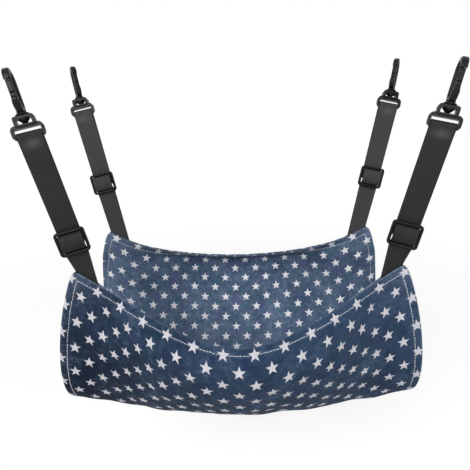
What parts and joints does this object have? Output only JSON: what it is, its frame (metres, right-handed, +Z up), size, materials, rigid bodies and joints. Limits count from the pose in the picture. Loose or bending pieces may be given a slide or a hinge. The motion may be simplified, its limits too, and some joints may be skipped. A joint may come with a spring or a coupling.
{
  "type": "pet hammock",
  "caption": "Cloth trough bed for a small pet, hung at its corners from adjustable webbing straps with sliders and swivel snap hooks.",
  "frame": {"origin": "below the middle of the bed, at the height of its lowest point", "axes": "+X to the right seen from the front, +Y to the back, +Z up; the trough runs across, with its open ends at the left and right"},
  "size_m": [0.4654, 0.297, 0.4654],
  "materials": {
    "print_cloth": "woven cotton denim with a pale star print",
    "lining_cloth": "woven cotton denim with a pale star print, a little lighter",
    "webbing": "flat woven webbing",
    "moulded_plastic": "moulded, satin"
  },
  "bodies": {
    "bed": {"bed_outer": "print_cloth", "bed_inner": "lining_cloth", "front_left_tail": "webbing", "front_right_tail": "webbing", "back_left_tail": "webbing", "back_right_tail": "webbing"},
    "front_left_strap": {"front_left_run": "webbing"},
    "front_left_adjuster": {"front_left_slider": "moulded_plastic", "front_left_thread": "webbing"},
    "front_left_loop": {"front_left_loop": "webbing"},
    "front_left_yoke": {"front_left_yoke": "moulded_plastic"},
    "front_left_hook": {"front_left_hook": "moulded_plastic"},
    "front_left_gate": {"front_left_gate": "moulded_plastic"},
    "front_right_strap": {"front_right_run": "webbing"},
    "front_right_adjuster": {"front_right_slider": "moulded_plastic", "front_right_thread": "webbing"},
    "front_right_loop": {"front_right_loop": "webbing"},
    "front_right_yoke": {"front_right_yoke": "moulded_plastic"},
    "front_right_hook": {"front_right_hook": "moulded_plastic"},
    "front_right_gate": {"front_right_gate": "moulded_plastic"},
    "back_left_strap": {"back_left_run": "webbing"},
    "back_left_adjuster": {"back_left_slider": "moulded_plastic", "back_left_thread": "webbing"},
    "back_left_loop": {"back_left_loop": "webbing"},
    "back_left_yoke": {"back_left_yoke": "moulded_plastic"},
    "back_left_hook": {"back_left_hook": "moulded_plastic"},
    "back_left_gate": {"back_left_gate": "moulded_plastic"},
    "back_right_strap": {"back_right_run": "webbing"},
    "back_right_adjuster": {"back_right_slider": "moulded_plastic", "back_right_thread": "webbing"},
    "back_right_loop": {"back_right_loop": "webbing"},
    "back_right_yoke": {"back_right_yoke": "moulded_plastic"},
    "back_right_hook": {"back_right_hook": "moulded_plastic"},
    "back_right_gate": {"back_right_gate": "moulded_plastic"}
  },
  "joints": [
    {"name": "front_left_swing", "type": "hinge", "parent": "bed", "child": "front_left_strap", "pos_m": [-0.1735, -0.07172, 0.23027], "axis": [0.8479, -0.1151, -0.5176], "range_deg": [-25, 25]},
    {"name": "front_left_adjust", "type": "slide", "parent": "front_left_strap", "child": "front_left_adjuster", "axis": [-0.1975, -0.0436, 0.9793], "range_m": [-0.02, 0.181], "deforming": ["front_left_run"]},
    {"name": "front_left_reach", "type": "slide", "parent": "front_left_adjuster", "child": "front_left_loop", "axis": [-0.1975, -0.0436, 0.9793], "range_m": [-0.0905, 0.01], "deforming": ["front_left_loop"]},
    {"name": "front_left_tilt", "type": "hinge", "parent": "front_left_loop", "child": "front_left_yoke", "pos_m": [-0.20584, -0.07817, 0.39042], "axis": [0.9296, 0.3087, 0.2012], "range_deg": [-60, 60]},
    {"name": "front_left_swivel", "type": "hinge", "parent": "front_left_yoke", "child": "front_left_hook", "pos_m": [-0.21013, -0.07548, 0.40612], "axis": [0.2601, -0.1631, -0.9517], "continuous": true},
    {"name": "front_left_snap", "type": "hinge", "parent": "front_left_hook", "child": "front_left_gate", "pos_m": [-0.21247, -0.08072, 0.42424], "axis": [-0.934, -0.2923, -0.2052], "range_deg": [0, 22], "stiffness_Nm_per_rad": 0.02, "springref_deg": -14.32},
    {"name": "front_right_swing", "type": "hinge", "parent": "bed", "child": "front_right_strap", "pos_m": [0.1735, -0.07172, 0.23027], "axis": [0.8479, 0.1151, 0.5176], "range_deg": [-25, 25]},
    {"name": "front_right_adjust", "type": "slide", "parent": "front_right_strap", "child": "front_right_adjuster", "axis": [0.1975, -0.0436, 0.9793], "range_m": [-0.02, 0.181], "deforming": ["front_right_run"]},
    {"name": "front_right_reach", "type": "slide", "parent": "front_right_adjuster", "child": "front_right_loop", "axis": [0.1975, -0.0436, 0.9793], "range_m": [-0.0905, 0.01], "deforming": ["front_right_loop"]},
    {"name": "front_right_tilt", "type": "hinge", "parent": "front_right_loop", "child": "front_right_yoke", "pos_m": [0.20584, -0.07817, 0.39042], "axis": [0.9296, -0.3087, -0.2012], "range_deg": [-60, 60]},
    {"name": "front_right_swivel", "type": "hinge", "parent": "front_right_yoke", "child": "front_right_hook", "pos_m": [0.21013, -0.07548, 0.40612], "axis": [0.2601, 0.1631, 0.9517], "continuous": true},
    {"name": "front_right_snap", "type": "hinge", "parent": "front_right_hook", "child": "front_right_gate", "pos_m": [0.21247, -0.08072, 0.42424], "axis": [-0.934, 0.2923, 0.2052], "range_deg": [0, 22], "stiffness_Nm_per_rad": 0.02, "springref_deg": -14.32},
    {"name": "back_left_swing", "type": "hinge", "parent": "bed", "child": "back_left_strap", "pos_m": [-0.1735, 0.07172, 0.23027], "axis": [-0.8479, -0.1151, 0.5176], "range_deg": [-25, 25]},
    {"name": "back_left_adjust", "type": "slide", "parent": "back_left_strap", "child": "back_left_adjuster", "axis": [-0.2185, 0.165, 0.9618], "range_m": [-0.05, 0.15], "deforming": ["back_left_run"]},
    {"name": "back_left_reach", "type": "slide", "parent": "back_left_adjuster", "child": "back_left_loop", "axis": [-0.2185, 0.165, 0.9618], "range_m": [-0.075, 0.025], "deforming": ["back_left_loop"]},
    {"name": "back_left_tilt", "type": "hinge", "parent": "back_left_loop", "child": "back_left_yoke", "pos_m": [-0.21294, 0.10082, 0.40365], "axis": [-0.9753, -0.0688, -0.2098], "range_deg": [-60, 60]},
    {"name": "back_left_swivel", "type": "hinge", "parent": "back_left_yoke", "child": "back_left_hook", "pos_m": [-0.21658, 0.10619, 0.41883], "axis": [0.2207, -0.3252, -0.9195], "continuous": true},
    {"name": "back_left_snap", "type": "hinge", "parent": "back_left_hook", "child": "back_left_gate", "pos_m": [-0.217, 0.10463, 0.43776], "axis": [-0.893, -0.4465, -0.0565], "range_deg": [0, 22], "stiffness_Nm_per_rad": 0.02, "springref_deg": -14.32},
    {"name": "back_right_swing", "type": "hinge", "parent": "bed", "child": "back_right_strap", "pos_m": [0.1735, 0.07172, 0.23027], "axis": [-0.8479, 0.1151, -0.5176], "range_deg": [-25, 25]},
    {"name": "back_right_adjust", "type": "slide", "parent": "back_right_strap", "child": "back_right_adjuster", "axis": [0.2185, 0.165, 0.9618], "range_m": [-0.05, 0.15], "deforming": ["back_right_run"]},
    {"name": "back_right_reach", "type": "slide", "parent": "back_right_adjuster", "child": "back_right_loop", "axis": [0.2185, 0.165, 0.9618], "range_m": [-0.075, 0.025], "deforming": ["back_right_loop"]},
    {"name": "back_right_tilt", "type": "hinge", "parent": "back_right_loop", "child": "back_right_yoke", "pos_m": [0.21294, 0.10082, 0.40365], "axis": [-0.9753, 0.0688, 0.2098], "range_deg": [-60, 60]},
    {"name": "back_right_swivel", "type": "hinge", "parent": "back_right_yoke", "child": "back_right_hook", "pos_m": [0.21658, 0.10619, 0.41883], "axis": [0.2207, 0.3252, 0.9195], "continuous": true},
    {"name": "back_right_snap", "type": "hinge", "parent": "back_right_hook", "child": "back_right_gate", "pos_m": [0.217, 0.10463, 0.43776], "axis": [-0.893, 0.4465, 0.0565], "range_deg": [0, 22], "stiffness_Nm_per_rad": 0.02, "springref_deg": -14.32}
  ],
  "couplings": [
    {"joint": "front_left_reach", "follows": "front_left_adjust", "ratio": -0.5},
    {"joint": "front_right_reach", "follows": "front_right_adjust", "ratio": -0.5},
    {"joint": "back_left_reach", "follows": "back_left_adjust", "ratio": -0.5},
    {"joint": "back_right_reach", "follows": "back_right_adjust", "ratio": -0.5}
  ]
}
